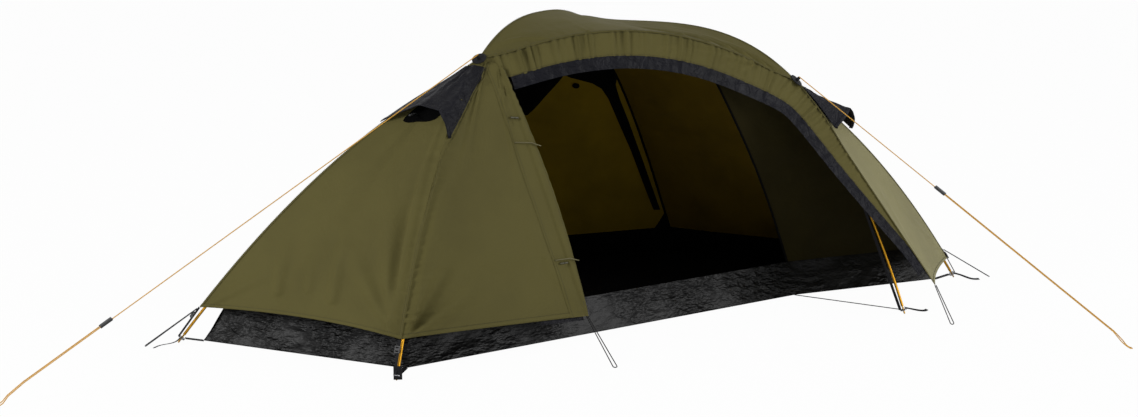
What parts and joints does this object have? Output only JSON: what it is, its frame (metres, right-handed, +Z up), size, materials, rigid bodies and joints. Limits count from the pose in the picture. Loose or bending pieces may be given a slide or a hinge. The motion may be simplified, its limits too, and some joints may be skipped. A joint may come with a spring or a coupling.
{
  "type": "tent on poles",
  "caption": "Low three-pole tent pitched with its side door rolled open, olive flysheet with a dark brow edge, hooded vents, black bathtub floor, webbing, peg loops and two guy lines.",
  "frame": {"origin": "on the ground under the middle of the long front pole, on the line between its two feet", "axes": "+X along the tent towards its foot end, +Y towards the rear, away from the door, +Z up"},
  "size_m": [3.2299, 1.6415, 0.9416],
  "materials": {
    "pole_tube": "gold anodised satin",
    "ferrule": "gold anodised satin",
    "tip": "gold anodised satin",
    "ring": "plain",
    "groundsheet": "shiny coated tarpaulin",
    "webbing": "woven webbing",
    "fly": "coated woven nylon",
    "trim": "coated woven nylon",
    "inner": "thin woven nylon",
    "mesh": "fine mesh",
    "plastic": "moulded",
    "slider": "satin",
    "elastic": "elastic cord",
    "guy": "braided cord"
  },
  "bodies": {
    "tent": {"front_pole": "pole_tube", "front_pole_ferrules": "ferrule", "head_pole": "pole_tube", "head_pole_ferrules": "ferrule", "foot_pole": "pole_tube", "foot_pole_ferrules": "ferrule", "pole_tips": "tip", "eyelet_rings": "ring", "floor_sheet": "groundsheet", "floor_wall": "groundsheet", "floor_straps": "webbing", "hem_straps": "webbing", "fly_head_panel": "fly", "fly_foot_panel": "fly", "fly_roof_panel": "fly", "fly_rear_panel": "fly", "fly_rear_head_panel": "fly", "fly_rear_foot_panel": "fly", "fly_door_panel": "fly", "fly_brow_band": "fly", "fly_brow_edging": "trim", "head_vent_hood": "trim", "foot_vent_hood": "trim", "inner_head_panel": "inner", "inner_rear_head_panel": "inner", "inner_rear_panel": "inner", "inner_rear_foot_panel": "inner", "inner_foot_panel": "inner", "inner_roof_panel": "mesh", "crossing_patches": "webbing", "door_zip": "plastic", "hem_loops": "elastic", "hem_buckles": "plastic", "head_guy_line": "guy", "foot_guy_line": "guy"},
    "head_tensioner": {"head_tensioner": "plastic"},
    "foot_tensioner": {"foot_tensioner": "plastic"},
    "zip_slider": {"zip_slider": "slider"},
    "upper_toggle": {"upper_toggle": "plastic"},
    "lower_toggle": {"lower_toggle": "plastic"},
    "head_vent_prop": {"head_vent_prop": "plastic"},
    "foot_vent_prop": {"foot_vent_prop": "plastic"}
  },
  "joints": [
    {"name": "head_tensioner_slide", "type": "slide", "parent": "tent", "child": "head_tensioner", "axis": [-0.8443, -0.1768, -0.5059], "range_m": [-0.2, 0.02]},
    {"name": "foot_tensioner_slide", "type": "slide", "parent": "tent", "child": "foot_tensioner", "axis": [0.5667, -0.598, -0.5667], "range_m": [-0.2, 0.02]},
    {"name": "zip_slide", "type": "slide", "parent": "tent", "child": "zip_slider", "axis": [-0.2686, 0.2191, 0.938], "range_m": [0, 0.68]},
    {"name": "upper_toggle_turn", "type": "hinge", "parent": "tent", "child": "upper_toggle", "pos_m": [-0.32586, -0.2368, 0.66431], "axis": [0.2754, -0.9156, 0.2929], "range_deg": [-80, 80]},
    {"name": "lower_toggle_turn", "type": "hinge", "parent": "tent", "child": "lower_toggle", "pos_m": [-0.20539, -0.33576, 0.24058], "axis": [0.2653, -0.9193, 0.2906], "range_deg": [-80, 80]},
    {"name": "head_vent_prop_fold", "type": "hinge", "parent": "tent", "child": "head_vent_prop", "pos_m": [-0.61008, -0.19701, 0.68266], "axis": [0.5496, -0.8157, -0.1806], "range_deg": [0, 50]},
    {"name": "foot_vent_prop_fold", "type": "hinge", "parent": "tent", "child": "foot_vent_prop", "pos_m": [0.72601, -0.15673, 0.62258], "axis": [0.6383, 0.7692, -0.0308], "range_deg": [0, 45]}
  ]
}
